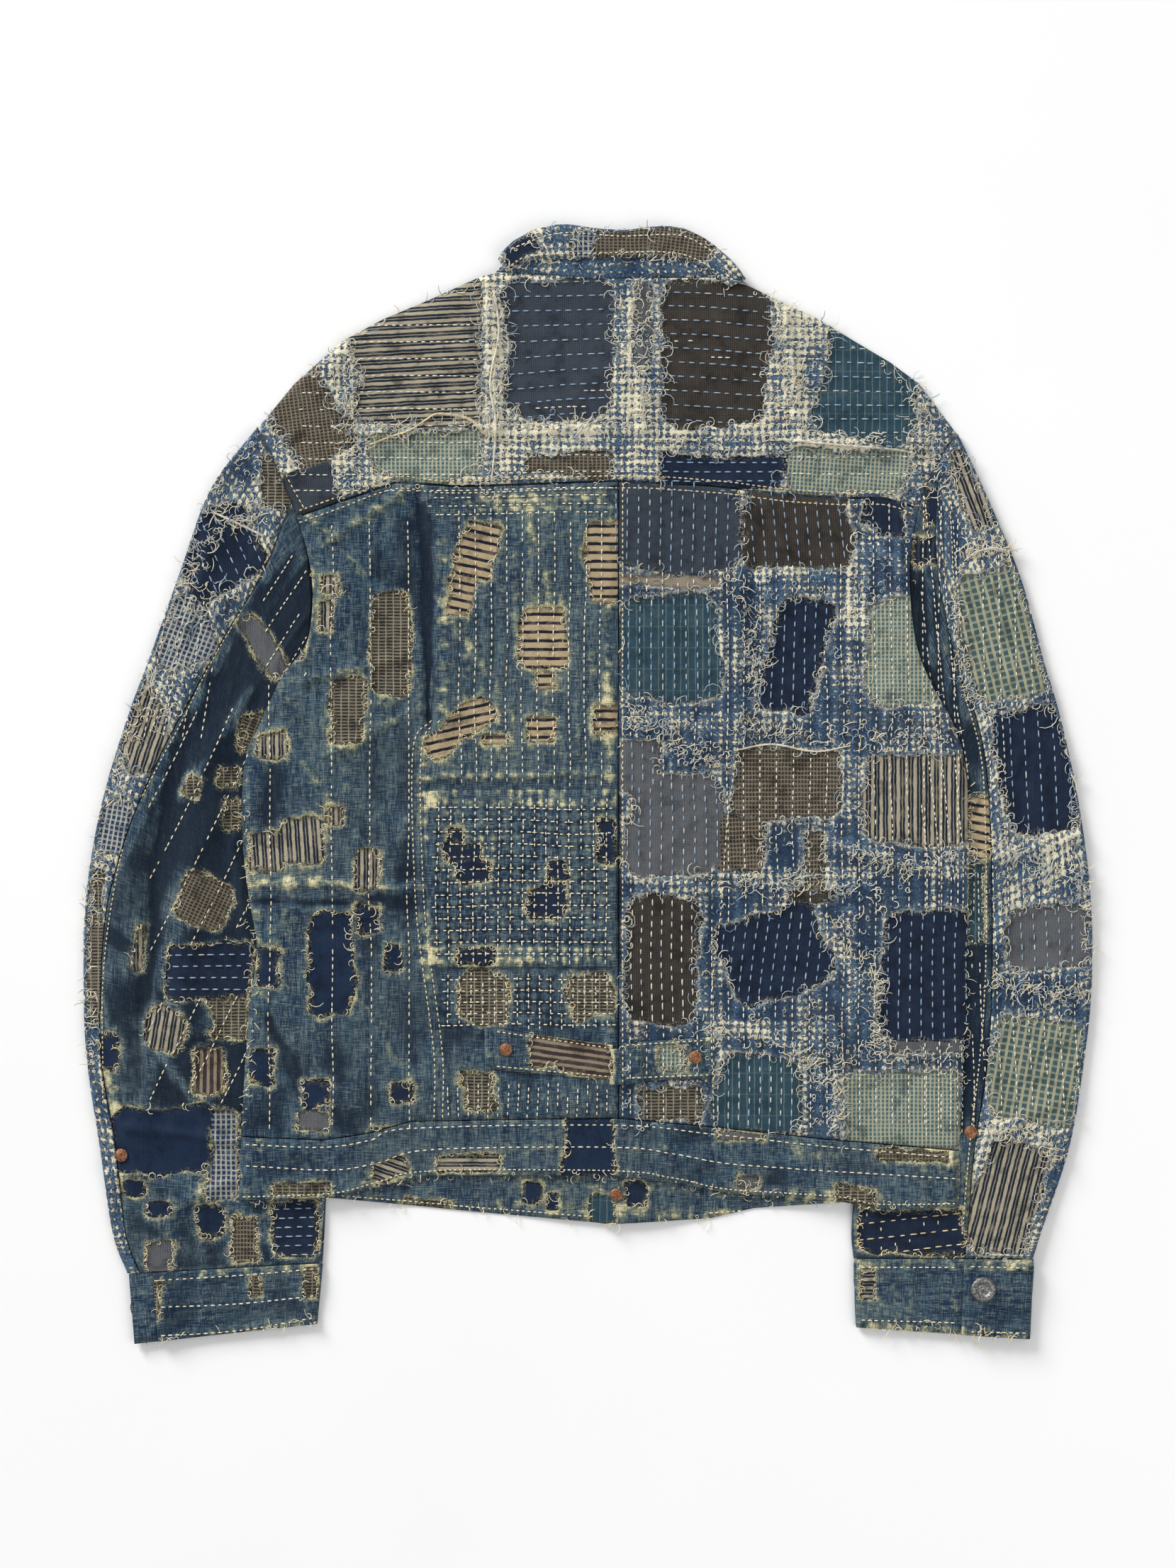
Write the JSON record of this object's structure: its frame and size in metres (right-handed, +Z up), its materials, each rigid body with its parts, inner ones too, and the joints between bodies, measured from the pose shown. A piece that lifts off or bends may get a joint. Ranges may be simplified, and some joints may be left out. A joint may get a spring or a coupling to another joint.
{
  "type": "patched boro work jacket laid flat",
  "caption": "Oversized patched and frayed work jacket laid flat with its back up, with a yoke, pleats, back cinch, waistband, two-piece sleeves and buttoned cuffs.",
  "frame": {"origin": "middle of the jacket's outline, on the surface it lies on", "axes": "+X to the right with the back up, +Y from the hem to the collar, +Z up from the surface"},
  "size_m": [0.7128, 0.79, 0.0136],
  "materials": {
    "worn_denim": "worn indigo denim with faded ridges and pale running stitch",
    "gauze": "loose blue and cream looped gauze with frayed windows over patches",
    "plain_cloth": "plain faded indigo cloth on the hidden side",
    "copper": "worn copper rivets and buttons",
    "grey_metal": "dull grey donut button"
  },
  "bodies": {
    "root": {"back_left": "worn_denim", "back_right": "gauze", "back_yoke": "gauze", "cinch_loop": "worn_denim", "cinch_rivet_left": "copper", "cinch_rivet_right": "copper", "cinch_strap_left": "worn_denim", "cinch_strap_right": "worn_denim", "collar_front_left": "plain_cloth", "collar_front_right": "plain_cloth", "collar_leaf": "gauze", "collar_stand": "gauze", "cuff_button_left": "grey_metal", "cuff_button_right": "grey_metal", "cuff_left": "worn_denim", "cuff_right": "worn_denim", "cuff_right_end": "worn_denim", "front_button_1": "copper", "front_button_2": "copper", "front_button_3": "copper", "front_button_4": "copper", "front_button_5": "copper", "front_button_6": "copper", "front_left": "plain_cloth", "front_right": "plain_cloth", "grid_patch": "worn_denim", "hem_button_tack": "copper", "sleeve_rivet_left": "copper", "sleeve_rivet_right": "copper", "sleeve_under_left": "worn_denim", "sleeve_under_right": "worn_denim", "sleeve_upper_left": "gauze", "sleeve_upper_right": "gauze", "waistband_back": "worn_denim", "waistband_front_left": "worn_denim", "waistband_front_right": "worn_denim"}
  },
  "joints": []
}
